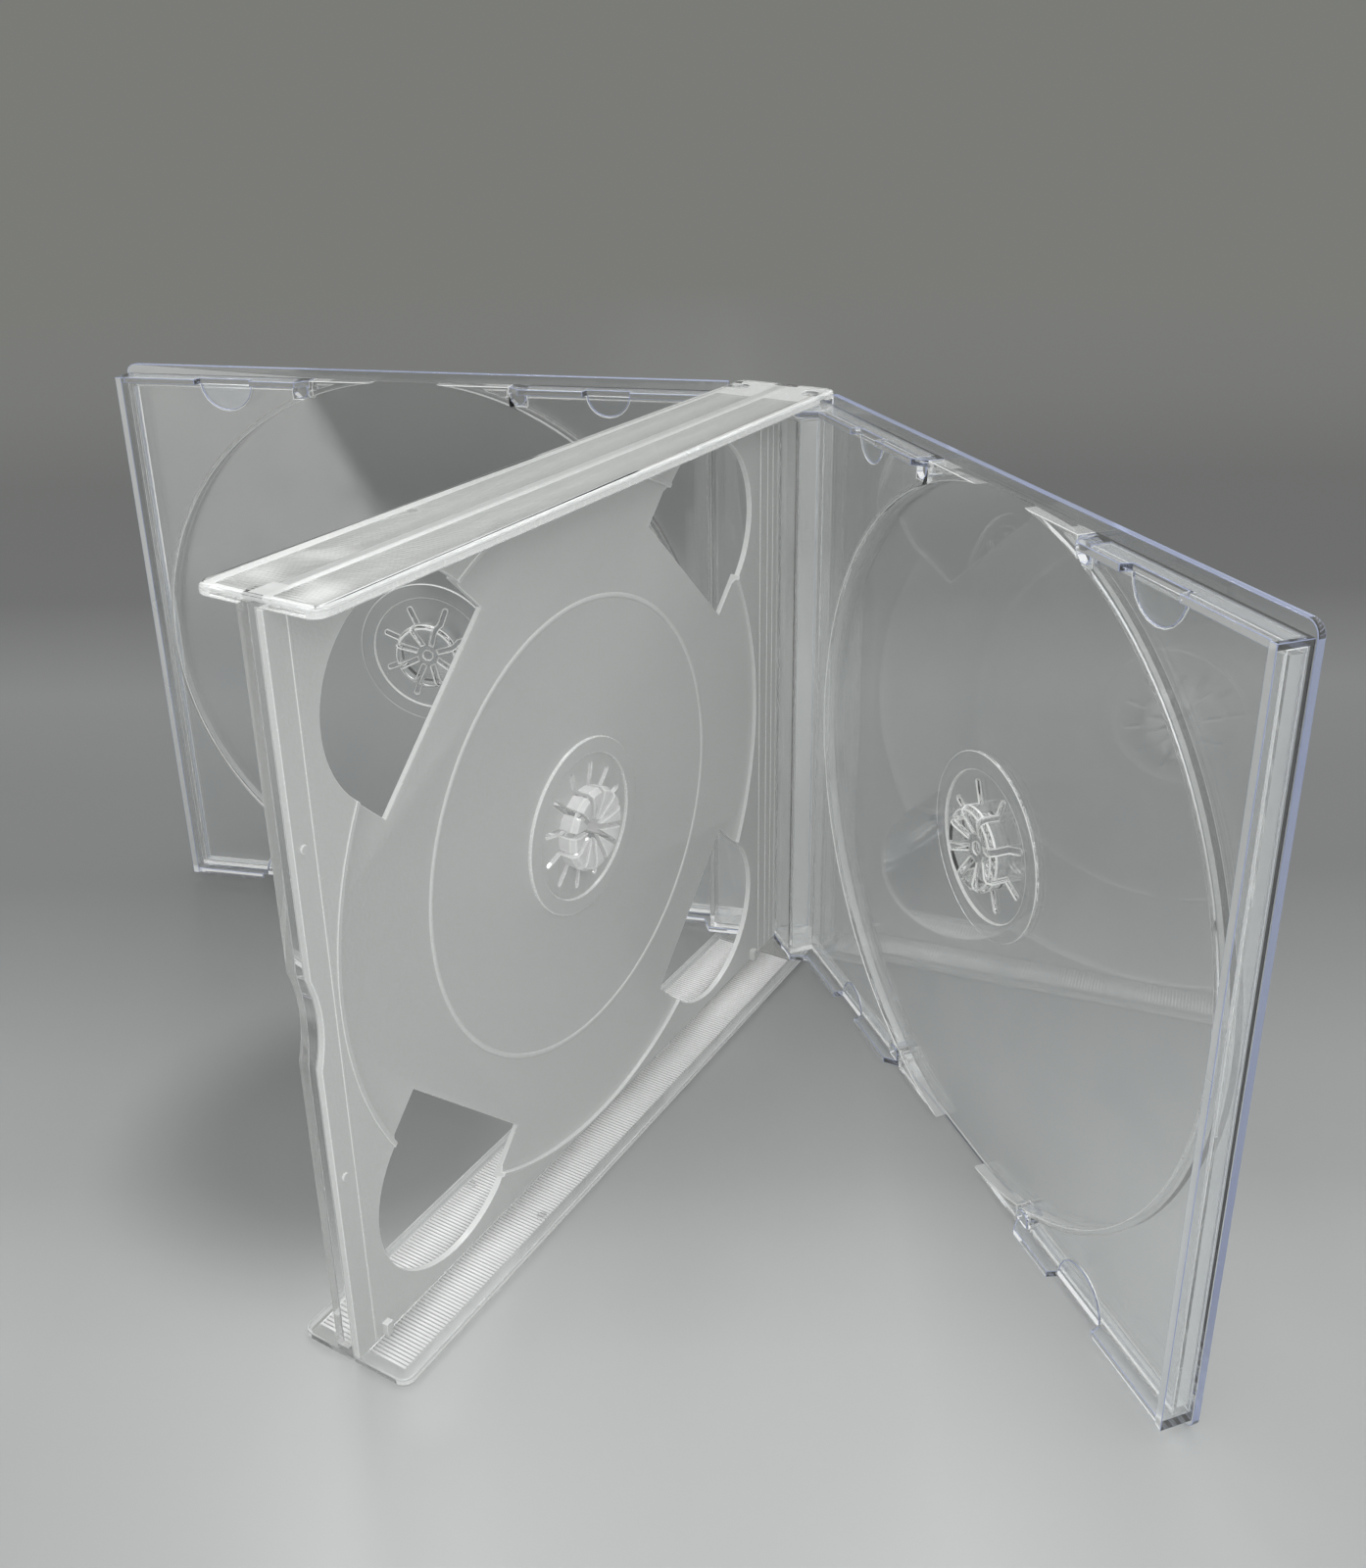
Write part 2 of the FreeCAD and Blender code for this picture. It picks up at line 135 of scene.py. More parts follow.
# how each surface takes light; where bump is 0, the scuffs only tint and dull it
polished = {"bump": 0, "grain": 0.1, "scale": 90.0, "ior": 1.57}
satin = {"bump": 0, "grain": 0.3, "scale": 2500.0, "ior": 1.5}
clearFinish = dict(polished, tint=(0.985, 0.99, 0.985), deep=(0.965, 0.975, 0.97), roughness=(0.0, 0.09),
                   grain=0.05, transmission=0.987, shadow=0.12)
tintedFinish = dict(clearFinish, tint=(0.975, 0.985, 0.995), deep=(0.955, 0.97, 0.99),
                    roughness=(0.0, 0.08))
# clear edges: paler and less clear than the faces they round, partly the moulded edges' frosting and partly
# painted highlight
edgeFinish = dict(polished, tint=(0.95, 0.965, 0.96), deep=(0.90, 0.92, 0.915), roughness=(0.12, 0.30),
                  grain=0.05, transmission=0.55, shadow=0.2)
blueEdgeFinish = dict(edgeFinish, tint=(0.62, 0.70, 1.0), deep=(0.56, 0.64, 0.98))
rimFinish = dict(polished, tint=(0.97, 0.98, 0.975), deep=(0.94, 0.95, 0.945), roughness=(0.02, 0.10),
                 transmission=0.86, shadow=0.15)
# hub: polished clear plastic made white and barely clear, a painted highlight on the fingers
hubFinish = dict(polished, tint=(1.0, 1.0, 1.0), deep=(0.97, 0.98, 0.975), roughness=(0.02, 0.10),
                 scale=300.0, transmission=0.3, shadow=0.2)
# lower ribs: near white and barely clear, a painted highlight standing in for the lamps' glints along them
litRibFinish = dict(polished, tint=(0.99, 0.99, 0.99), deep=(0.97, 0.97, 0.97), roughness=(0.14, 0.22),
                 scale=300.0, ior=1.5, transmission=0.1, shadow=0.12)
frostedFinish = dict(satin, tint=(0.73, 0.74, 0.73), deep=(0.69, 0.70, 0.69), roughness=(0.50, 0.62),
                     bump=0.14, grain=0.8, scale=1500.0, transmission=0.20, shadow=0.18)
# frosted edges, walls and the label ring: paler than the frosted face, a painted highlight
frostedEdgeFinish = dict(satin, tint=(0.95, 0.96, 0.95), deep=(0.93, 0.94, 0.93), roughness=(0.24, 0.30),
                         transmission=0.12, shadow=0.14)
softEdgeFinish = dict(satin, tint=(0.84, 0.85, 0.84), deep=(0.80, 0.81, 0.80), roughness=(0.30, 0.40),
                      transmission=0.15, shadow=0.16)


def makePlastic(name, finish):
    material = bpy.data.materials.new(name)
    material.use_nodes = True
    tree = material.node_tree
    shader = tree.nodes["Principled BSDF"]
    marks = addNode(tree, "ShaderNodeGroup", (-900, 0), node_tree=mouldingMarks)
    marks.inputs["Flow Scale"].default_value = marksLook["flowScale"]
    marks.inputs["Scuff Scale"].default_value = finish["scale"]
    marks.inputs["Scuff Depth"].default_value = finish["grain"]
    colour = addNode(tree, "ShaderNodeMix", (-600, 300), data_type="RGBA")
    colour.inputs["A"].default_value = (*finish["tint"], 1)
    colour.inputs["B"].default_value = (*finish["deep"], 1)
    tree.links.new(marks.outputs["Cloud" if finish["bump"] else "Scuff"], colour.inputs["Factor"])
    tree.links.new(colour.outputs["Result"], shader.inputs["Base Color"])
    rough = addNode(tree, "ShaderNodeMapRange", (-600, 0))
    rough.inputs["To Min"].default_value, rough.inputs["To Max"].default_value = finish["roughness"]
    tree.links.new(marks.outputs["Scuff"], rough.inputs["Value"])
    tree.links.new(rough.outputs["Result"], shader.inputs["Roughness"])
    if finish["bump"]:
        bump = addNode(tree, "ShaderNodeBump", (-600, -300))
        bump.inputs["Strength"].default_value = finish["bump"]
        bump.inputs["Distance"].default_value = marksLook["bumpDepth"] * mm
        tree.links.new(marks.outputs["Height"], bump.inputs["Height"])
        tree.links.new(bump.outputs["Normal"], shader.inputs["Normal"])
    shader.inputs["Transmission Weight"].default_value = finish["transmission"]
    shader.inputs["IOR"].default_value = finish["ior"]
    path = addNode(tree, "ShaderNodeLightPath", (-900, -500))       # light passes on to the floor
    thin = mathNode(tree, "MULTIPLY", path.outputs["Is Shadow Ray"], finish["shadow"] - 1.0, (-600, -600))
    shade = mathNode(tree, "ADD", thin, 1.0, (-300, -600))
    tree.links.new(shade, shader.inputs["Alpha"])
    return material


clearPlastic = makePlastic("clearPlastic", clearFinish)
tintedPlastic = makePlastic("tintedPlastic", tintedFinish)
frostedPlastic = makePlastic("frostedPlastic", frostedFinish)
clearEdge = makePlastic("clearEdge", edgeFinish)
tintedEdge = makePlastic("tintedEdge", blueEdgeFinish)
frostedEdge = makePlastic("frostedEdge", frostedEdgeFinish)
softEdge = makePlastic("softEdge", softEdgeFinish)
hubPlastic = makePlastic("hubPlastic", hubFinish)
litRibPlastic = makePlastic("litRibPlastic", litRibFinish)
rimPlastic = makePlastic("rimPlastic", rimFinish)
print("materials made")


# moulded pieces: the solids with their outer edges rounded

# sizes in millimetres and angles in degrees; level, sideways and facing compare directions, from 0 to 1
mouldingLook = {"joinWithin": 0.002, "flatWithin": 0.6, "sharpAngle": 32,
                "level": 0.9, "sideways": 0.3, "facing": 0.8,
                "narrow": 0.9, "long": 60, "plateWall": 1.35,                # long thin faces, and low walls
                "hubRadius": 16.1, "fingerRadius": 12.9,                     # out to the seat, to the fingers
                "skin": 0.1, "flange": 1.7, "rimSide": 9.5, "rimEnd": -69.5,     # the flanges' outer sides
                "inside": {1: (1.3, 1.7), -1: (122.9, 123.5)}, "cuts": (-1.5, -0.2, 1.6),
                "postTop": (((0, 1, 0), (0, -1.5, 0)), ((0, -1, 0), (0, 1.6, 0)),
                            ((-1, 0, 0), (-65.9, 0, 0)), ((1, 0, 0), (-70.2, 0, 0)))}

# the way each body's trays face, and a point on each hub's axis, both from the hinges: a wing stands open
# by as much as its hinge's lower limit
axisTable = {"frame": Vector((0, 1, 0))}
hubTable = {"centre_tray": discCentre}
for joint in frame["joints"]:
    hinge = Vector(joint["pos_m"])
    side = joint["axis"][2]
    opened = math.radians(-joint["range_deg"][0])
    outward = Vector((-math.cos(opened), -side * math.sin(opened), 0))
    axisTable[joint["child"]] = Vector((-math.sin(opened), side * math.cos(opened), 0))
    hubTable[joint["child"].replace("wing", "disc_tray")] = hinge + outward * (hinge.x - discCentre.x)


def inHub(place, node, axis, part="hubRadius"):
    return node in hubTable and (place - hubTable[node]).cross(axis).length < mouldingLook[part] * mm


def onRim(place):
    flange = min(place.z, caseHeight - place.z) < mouldingLook["flange"] * mm
    return flange and (abs(place.y) > mouldingLook["rimSide"] * mm or place.x < mouldingLook["rimEnd"] * mm)


def onInside(face, side):
    low, high = mouldingLook["inside"][side]                 # inner side of the lower or the upper flange
    within = low * mm < face.calc_center_median().z < high * mm
    return within and face.normal.z * side > mouldingLook["level"]


def onTop(face):
    skin = caseHeight - mouldingLook["skin"] * mm
    return face.normal.z > mouldingLook["level"] and face.calc_center_median().z > skin


# which finish a face takes: 0 the piece's own, 1 its bright edges, partly painted highlight, 2 to 4 further
# ones where it has them, among them paler walls, rim sides and hub fingers with painted highlight
def finishOf(face, node, axis):
    facing = abs(face.normal.dot(axis))
    length = face.calc_perimeter()
    narrow = length > mouldingLook["long"] * mm and face.calc_area() < mouldingLook["narrow"] * mm * length
    span = [corner.co.dot(axis) for corner in face.verts]
    wall = facing < mouldingLook["sideways"] and max(span) - min(span) < mouldingLook["plateWall"] * mm
    if "tray" in node:
        if all(inHub(corner.co, node, axis, "fingerRadius") for corner in face.verts):
            return 2 if node == "centre_tray" else 0
        seat = all(inHub(corner.co, node, axis) for corner in face.verts)
        if wall and (seat or node == "centre_tray"):
            return 1 if seat else 3
        return 2 if node != "centre_tray" and facing < mouldingLook["sideways"] else 0
    if "cover" in node:
        return (2 if facing > mouldingLook["facing"] else 1) if narrow else 0
    if onInside(face, 1):
        return 4
    if onInside(face, -1):
        low, high = mouldingLook["cuts"][1:]
        return 3 if low * mm < face.calc_center_median().y < high * mm else 2
    if onTop(face):
        middle = face.calc_center_median()
        over = all((middle - Vector(at) * mm).dot(Vector(way)) > 0 for way, at in mouldingLook["postTop"])
        return 3 if over else 0
    if onRim(face.calc_center_median()) and abs(face.normal.z) < mouldingLook["sideways"]:
        return 2
    return 1 if narrow else 0


def splitFaces(bm, faces, way, at):
    faces = bmesh.ops.triangulate(bm, faces=faces)["faces"]      # a cut through a hollow face can twist it
    geom = list(dict.fromkeys(part for face in faces for part in (face, *face.edges, *face.verts)))
    bmesh.ops.bisect_plane(bm, geom=geom, plane_no=way, plane_co=Vector(at) * mm)


def roundedMesh(mesh, node, axis, share):
    bm = bmesh.new()
    bm.from_mesh(mesh)
    bmesh.ops.remove_doubles(bm, verts=bm.verts, dist=mouldingLook["joinWithin"] * mm)
    bmesh.ops.dissolve_limit(bm, angle_limit=math.radians(mouldingLook["flatWithin"]), verts=bm.verts,
                             edges=bm.edges, use_dissolve_boundaries=False)
    if node == "centre_frame":                               # the strip along the tray's edge, set apart
        for cut in mouldingLook["cuts"]:
            splitFaces(bm, [face for face in bm.faces if onInside(face, -1)], (0, 1, 0), (0, cut, 0))
        for way, at in mouldingLook["postTop"]:              # and the flange's skin over the free end post
            splitFaces(bm, [face for face in bm.faces if onTop(face)], way, at)
    weight = bm.edges.layers.float.new("bevel_weight_edge")
    sharp = math.radians(mouldingLook["sharpAngle"])
    for edge in bm.edges:
        if len(edge.link_faces) == 2 and edge.calc_face_angle(0) > sharp:
            if edge.is_convex:
                place = edge.verts[0].co
                strong = inHub(place, node, axis) or node == "centre_frame" and onRim(place)
                edge[weight] = 1.0 if strong else share
            else:
                edge.smooth = False
    for face in bm.faces:
        face.smooth = True
        face.material_index = finishOf(face, node, axis)
    bm.to_mesh(mesh)
    bm.free()


def mouldedPiece(node, name, finishes, slot, body, radius, hubRound):
    mesh = frame["nodes"][node].data.copy()
    mesh.name = name
    if "custom_normal" in mesh.attributes:
        mesh.attributes.remove(mesh.attributes["custom_normal"])
    mesh.materials.clear()
    for material in finishes:
        mesh.materials.append(material)
    roundedMesh(mesh, node, axisTable[body], radius / hubRound)
    obj = linkObject(name, mesh)
    bevel = obj.modifiers.new("edgeRound", "BEVEL")
    bevel.width = hubRound * mm
    bevel.segments = 2
    bevel.limit_method = "WEIGHT"
    bevel.use_clamp_overlap = False
    bevel.harden_normals = True
    # the rounded edges take finish 1, the paler one that paints their highlight
    bevel.material = 1
    appliedMesh(obj, name)
    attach(obj, body)
    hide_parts(node)
    return obj


pieceTable = {                      # name, finishes, slot, body, rounding of the edges and of the hub
    "centre_frame": ("frameMoulding", (clearPlastic, clearEdge, frostedEdge, frostedPlastic, rimPlastic),
                     "clear_polystyrene", "frame", 0.12, 0.24),
    "centre_tray": ("centreTrayMoulding", (frostedPlastic, frostedEdge, hubPlastic, softEdge),
                    "frosted_polystyrene", "frame", 0.12, 0.2),
    "right_cover": ("rightCoverMoulding", (tintedPlastic, tintedEdge, clearEdge),
                    "tinted_clear_polystyrene", "right_wing", 0.12, 0.12),
    "right_disc_tray": ("rightTrayMoulding", (clearPlastic, frostedEdge, rimPlastic), "clear_polystyrene",
                        "right_wing", 0.13, 0.22),
    "left_cover": ("leftCoverMoulding", (tintedPlastic, tintedEdge, clearEdge),
                   "tinted_clear_polystyrene", "left_wing", 0.12, 0.12),
    "left_disc_tray": ("leftTrayMoulding", (clearPlastic, frostedEdge, rimPlastic), "clear_polystyrene",
                       "left_wing", 0.13, 0.22),
}
for node, row in pieceTable.items():
    piece = mouldedPiece(node, *row)
    print(piece.name, len(piece.data.polygons), "faces")


# fine ribs across the inner faces of both flanges

ribLook = {"pitch": 0.66, "radius": 0.28, "squash": 0.43,
           "xFrom": -68.6, "xTo": 57.8, "yFrom": 1.6, "yTo": 8.55,
           "depth": 1.47}                   # of the ribs' middle lines in the flange, from its outer face


def makeRibTree():
    tree = bpy.data.node_groups.new("flangeRibs", "GeometryNodeTree")
    face = tree.interface
    for name, kind in (("First Rib", "NodeSocketVector"), ("Step", "NodeSocketVector"),
                       ("Count", "NodeSocketInt"), ("Length", "NodeSocketFloat"),
                       ("Radius", "NodeSocketFloat"), ("Squash", "NodeSocketFloat"),
                       ("Finish", "NodeSocketMaterial")):
        face.new_socket(name, in_out="INPUT", socket_type=kind)
    face.new_socket("Geometry", in_out="OUTPUT", socket_type="NodeSocketGeometry")
    ins = addNode(tree, "NodeGroupInput", (-800, 0))
    outs = addNode(tree, "NodeGroupOutput", (900, 0))
    row = addNode(tree, "GeometryNodeMeshLine", (-400, 200), mode="OFFSET")
    rib = addNode(tree, "GeometryNodeMeshCylinder", (-400, -100))
    rib.inputs["Vertices"].default_value = 6
    spread = addNode(tree, "ShaderNodeCombineXYZ", (-400, -400))
    spread.inputs["X"].default_value = 1.0
    spread.inputs["Z"].default_value = 1.0
    place = addNode(tree, "GeometryNodeInstanceOnPoints", (0, 100))
    place.inputs["Rotation"].default_value = (math.pi / 2, 0, 0)
    real = addNode(tree, "GeometryNodeRealizeInstances", (300, 100))
    paint = addNode(tree, "GeometryNodeSetMaterial", (600, 100))
    for source, node, socket in (("Count", row, "Count"), ("First Rib", row, "Start Location"),
                                 ("Step", row, "Offset"), ("Radius", rib, "Radius"),
                                 ("Length", rib, "Depth"), ("Squash", spread, "Y"),
                                 ("Finish", paint, "Material")):
        tree.links.new(ins.outputs[source], node.inputs[socket])
    tree.links.new(row.outputs["Mesh"], place.inputs["Points"])
    tree.links.new(rib.outputs["Mesh"], place.inputs["Instance"])
    tree.links.new(spread.outputs["Vector"], place.inputs["Scale"])
    tree.links.new(place.outputs["Instances"], real.inputs["Geometry"])
    tree.links.new(real.outputs["Geometry"], paint.inputs["Geometry"])
    tree.links.new(paint.outputs["Geometry"], outs.inputs["Geometry"])
    return tree


# raised ring on both faces of the centre tray, where a disc's label begins

beadLook = {"ringRadius": 40.3, "halfWidth": 0.45, "squash": 0.5, "level": 0.5, "steps": 160}


def makeBeadTree():
    tree = bpy.data.node_groups.new("trayBead", "GeometryNodeTree")
    face = tree.interface
    for name, kind in (("Middle", "NodeSocketVector"), ("Ring Radius", "NodeSocketFloat"),
                       ("Half Width", "NodeSocketFloat"), ("Squash", "NodeSocketFloat"),
                       ("Steps", "NodeSocketInt"), ("Finish", "NodeSocketMaterial")):
        face.new_socket(name, in_out="INPUT", socket_type=kind)
    face.new_socket("Geometry", in_out="OUTPUT", socket_type="NodeSocketGeometry")
    ins = addNode(tree, "NodeGroupInput", (-800, 0))
    outs = addNode(tree, "NodeGroupOutput", (1200, 0))
    ring = addNode(tree, "GeometryNodeCurvePrimitiveCircle", (-400, 200))
    section = addNode(tree, "GeometryNodeCurvePrimitiveCircle", (-400, -100))
    section.inputs["Resolution"].default_value = 10
    sweep = addNode(tree, "GeometryNodeCurveToMesh", (0, 100))
    flat = addNode(tree, "ShaderNodeCombineXYZ", (0, -200))
    flat.inputs["X"].default_value = 1.0
    flat.inputs["Y"].default_value = 1.0
    stand = addNode(tree, "GeometryNodeTransform", (300, 100))
    stand.inputs["Rotation"].default_value = (math.pi / 2, 0, 0)
    real = addNode(tree, "GeometryNodeRealizeInstances", (600, 100))
    paint = addNode(tree, "GeometryNodeSetMaterial", (900, 100))
    for source, node, socket in (("Ring Radius", ring, "Radius"), ("Steps", ring, "Resolution"),
                                 ("Half Width", section, "Radius"), ("Squash", flat, "Z"),
                                 ("Middle", stand, "Translation"), ("Finish", paint, "Material")):
        tree.links.new(ins.outputs[source], node.inputs[socket])
    tree.links.new(ring.outputs["Curve"], sweep.inputs["Curve"])
    tree.links.new(section.outputs["Curve"], sweep.inputs["Profile Curve"])
    tree.links.new(flat.outputs["Vector"], stand.inputs["Scale"])
    tree.links.new(sweep.outputs["Mesh"], stand.inputs["Geometry"])
    tree.links.new(stand.outputs["Geometry"], real.inputs["Geometry"])
    tree.links.new(real.outputs["Geometry"], paint.inputs["Geometry"])
    tree.links.new(paint.outputs["Geometry"], outs.inputs["Geometry"])
    return tree


def grownMesh(tree, rows, name):
    joined = bmesh.new()
    finishes = []
    for values in rows:
        obj = linkObject(name, bpy.data.meshes.new(name))
        grow = obj.modifiers.new("grow", "NODES")
        grow.node_group = tree
        for item in tree.interface.items_tree:
            if item.in_out == "INPUT":
                grow[item.identifier] = values[item.name]
        mesh = appliedMesh(obj, name)
        if values["Finish"] not in finishes:
            finishes.append(values["Finish"])
        for poly in mesh.polygons:
            poly.material_index = finishes.index(values["Finish"])
        joined.from_mesh(mesh)
        bpy.data.objects.remove(obj)
    mesh = bpy.data.meshes.new(name)
    joined.to_mesh(mesh)
    joined.free()
    for finish in finishes:
        mesh.materials.append(finish)
    return mesh


def makeRibs():
    tree = makeRibTree()
    length = ribLook["yTo"] - ribLook["yFrom"]
    middle = (ribLook["yTo"] + ribLook["yFrom"]) / 2
    count = int((ribLook["xTo"] - ribLook["xFrom"]) / ribLook["pitch"]) + 1
    rows = []
    depth = ribLook["depth"] * mm
    # painted light: the lower ribs take the whiter lit finish, the upper ribs the darker frosted one as
    # painted shade
    for level, finish in ((depth, litRibPlastic), (caseHeight - depth, frostedPlastic)):
        for side in (-1, 1):
            rows.append({"First Rib": (ribLook["xFrom"] * mm, side * middle * mm, level),
                         "Step": (ribLook["pitch"] * mm, 0, 0), "Count": count, "Length": length * mm,
                         "Radius": ribLook["radius"] * mm, "Squash": ribLook["squash"], "Finish": finish})
    mesh = grownMesh(tree, rows, "flangeRibs")
    for poly in mesh.polygons:
        poly.use_smooth = len(poly.vertices) == 4
    ribs = linkObject("flangeRibs", mesh)
    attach(ribs, "frame")
    print("flangeRibs", count * 4, "ribs")


def makeBead():
    tree = makeBeadTree()
    rows = []
    for side in (-1, 1):
        rows.append({"Middle": (discCentre.x, side * beadLook["level"] * mm, discCentre.z),
                     "Ring Radius": beadLook["ringRadius"] * mm, "Half Width": beadLook["halfWidth"] * mm,
                     "Squash": beadLook["squash"], "Steps": beadLook["steps"], "Finish": softEdge})
    mesh = grownMesh(tree, rows, "trayBead")
    for poly in mesh.polygons:
        poly.use_smooth = True
    bead = linkObject("trayBead", mesh)
    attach(bead, "frame")
    print("trayBead made")


makeRibs()
makeBead()


# floor, light and camera

# painted light and shade on the floor: paler towards the camera and darker beyond the case along the camera's
# line of sight, and lighter across it on the side where the case's shadow falls: (millimetres from the
# middle, tone)
floorLook = {"radius": 30.0, "fade": (0.45, 1.1),                                       # metres
             "roughness": 0.3, "specular": 0.25, "tint": (1.0, 1.02, 1.015),
             "sight": (0.857, 0.515, 0), "across": (-0.515, 0.857, 0),
             "tones": ((-300, 0.78), (-200, 0.68), (-100, 0.455), (-60, 0.47), (-40, 0.44), (-20, 0.37),
                       (10, 0.34), (43, 0.27), (85, 0.20), (139, 0.20), (200, 0.22), (290, 0.13),
                       (450, 0.12), (650, 0.165), (1100, 0.21)),
             "sideTones": ((-150, 0.63), (-120, 0.63), (-100, 0.68), (-74, 0.75), (-50, 0.86), (-14, 0.80),
                           (14, 0.79), (50, 0.67), (85, 0.62), (127, 0.64)),
             "evenTone": 0.7,                                        # a side tone that changes nothing
             # painted shadow: a soft dark patch on the floor under the left wing
             "shadeAt": (-30, 38, 0), "shadeReach": (20, 50), "shade": 0.56,        # soft dark patch
             # painted reflections, seen only in mirrored rays; direction: where the change starts and ends
             # along it, and the tone at each
             "mirrored": {(1, 0, 0): (-250, -120, 1.0, 0.0), (0.2134, 0.977, 0): (45, 58, 0.03, 1.0)}}
roomTone = {"behind": (0.195, 0.199, 0.186), "near": (0.60, 0.605, 0.60), "above": (0.95, 0.96, 0.955),
            "turn": (-0.5, 1.0), "rise": (0.14, 0.75)}


def toneRamp(tree, coord, direction, tones, level, tint=(1.0, 1.0, 1.0)):
    along = addNode(tree, "ShaderNodeVectorMath", (-1200, level), operation="DOT_PRODUCT")
    along.inputs[1].default_value = direction
    tree.links.new(coord.outputs["Object"], along.inputs[0])
    first, last = tones[0][0], tones[-1][0]
    place = addNode(tree, "ShaderNodeMapRange", (-1000, level))
    place.inputs["From Min"].default_value, place.inputs["From Max"].default_value = first * mm, last * mm
    tree.links.new(along.outputs["Value"], place.inputs["Value"])
    ramp = addNode(tree, "ShaderNodeValToRGB", (-700, level))
    tree.links.new(place.outputs["Result"], ramp.inputs["Fac"])
    while len(ramp.color_ramp.elements) < len(tones):
        ramp.color_ramp.elements.new(0.5)
    for element, (at, tone) in zip(ramp.color_ramp.elements, tones):
        element.position = (at - first) / (last - first)
        element.color = (*(tone * share for share in tint), 1)
    return ramp.outputs["Color"]


def wallTone(tree, heading, level):
    front = addNode(tree, "ShaderNodeVectorMath", (-600, level), operation="DOT_PRODUCT")
    front.inputs[1].default_value = [-side for side in floorLook["sight"]]      # the room lies on this side
    tree.links.new(heading, front.inputs[0])
    nearer = addNode(tree, "ShaderNodeMapRange", (-300, level), interpolation_type="SMOOTHSTEP")
    nearer.inputs["From Min"].default_value, nearer.inputs["From Max"].default_value = roomTone["turn"]
    tree.links.new(front.outputs["Value"], nearer.inputs["Value"])
    wall = addNode(tree, "ShaderNodeMix", (0, level), data_type="RGBA")
    wall.inputs["A"].default_value = (*roomTone["behind"], 1)
    wall.inputs["B"].default_value = (*roomTone["near"], 1)
    tree.links.new(nearer.outputs["Result"], wall.inputs["Factor"])
    return wall.outputs["Result"]


def floorTone(tree, coord):
    depth = toneRamp(tree, coord, floorLook["sight"], floorLook["tones"], 0, floorLook["tint"])
    width = toneRamp(tree, coord, floorLook["across"], floorLook["sideTones"], 400)
    bright = mathNode(tree, "MULTIPLY", width, 1.0 / floorLook["evenTone"], (-600, 500))
    under = addNode(tree, "ShaderNodeVectorMath", (-1000, 800), operation="DISTANCE")
    under.inputs[1].default_value = [part * mm for part in floorLook["shadeAt"]]
    tree.links.new(coord.outputs["Object"], under.inputs[0])
    shade = addNode(tree, "ShaderNodeMapRange", (-800, 800), interpolation_type="SMOOTHSTEP")
    first, last = floorLook["shadeReach"]
    shade.inputs["From Min"].default_value, shade.inputs["From Max"].default_value = first * mm, last * mm
    shade.inputs["To Min"].default_value = floorLook["shade"]
    tree.links.new(under.outputs["Value"], shade.inputs["Value"])
    bright = mathNode(tree, "MULTIPLY", bright, shade.outputs["Result"], (-500, 600))
    toned = addNode(tree, "ShaderNodeVectorMath", (-400, 300), operation="SCALE")
    tree.links.new(depth, toned.inputs[0])
    tree.links.new(bright, toned.inputs["Scale"])
    return toned.outputs["Vector"]


def farWall(tree, coord, path):                              # far off the floor becomes the wall
    away = addNode(tree, "ShaderNodeVectorMath", (-1000, -300), operation="LENGTH")
    tree.links.new(coord.outputs["Object"], away.inputs[0])
    heading = addNode(tree, "ShaderNodeVectorMath", (-1000, -450), operation="NORMALIZE")
    tree.links.new(coord.outputs["Object"], heading.inputs[0])
    glow = addNode(tree, "ShaderNodeEmission", (200, -300))
    tree.links.new(wallTone(tree, heading.outputs["Vector"], -1200), glow.inputs["Color"])
    far = addNode(tree, "ShaderNodeMapRange", (-700, -300))
    far.inputs["From Min"].default_value, far.inputs["From Max"].default_value = floorLook["fade"]
    tree.links.new(away.outputs["Value"], far.inputs["Value"])
    seen = mathNode(tree, "ADD", path.outputs["Is Camera Ray"], path.outputs["Is Transmission Ray"],
                    (-700, -600), True)
    seen = mathNode(tree, "ADD", seen, path.outputs["Is Glossy Ray"], (-500, -600), True)
    share = mathNode(tree, "MULTIPLY", far.outputs["Result"], seen, (-300, -400))
    return share, glow.outputs["Emission"]


# painted reflections: on the floor towards the camera, a dark side and a bright side that glow only for
# mirrored rays
def mirroredSides(tree, coord, path):                        # a dark and a bright side, only mirrored
    reach = []
    for way, (first, last, low, high) in floorLook["mirrored"].items():
        along = addNode(tree, "ShaderNodeVectorMath", (-1000, -900), operation="DOT_PRODUCT")
        along.inputs[1].default_value = way
        tree.links.new(coord.outputs["Object"], along.inputs[0])
        step = addNode(tree, "ShaderNodeMapRange", (-700, -900), interpolation_type="SMOOTHSTEP")
        step.inputs["From Min"].default_value, step.inputs["From Max"].default_value = first * mm, last * mm
        step.inputs["To Min"].default_value, step.inputs["To Max"].default_value = low, high
        tree.links.new(along.outputs["Value"], step.inputs["Value"])
        reach.append(step.outputs["Result"])
    share = mathNode(tree, "MULTIPLY", reach[0], path.outputs["Is Glossy Ray"], (-200, -900))
    side = addNode(tree, "ShaderNodeEmission", (0, -700))
    tree.links.new(reach[1], side.inputs["Color"])
    return share, side.outputs["Emission"]


def laidOver(tree, base, share, light, place):
    mix = addNode(tree, "ShaderNodeMixShader", place)
    tree.links.new(share, mix.inputs["Fac"])
    tree.links.new(base, mix.inputs[1])
    tree.links.new(light, mix.inputs[2])
    return mix.outputs["Shader"]


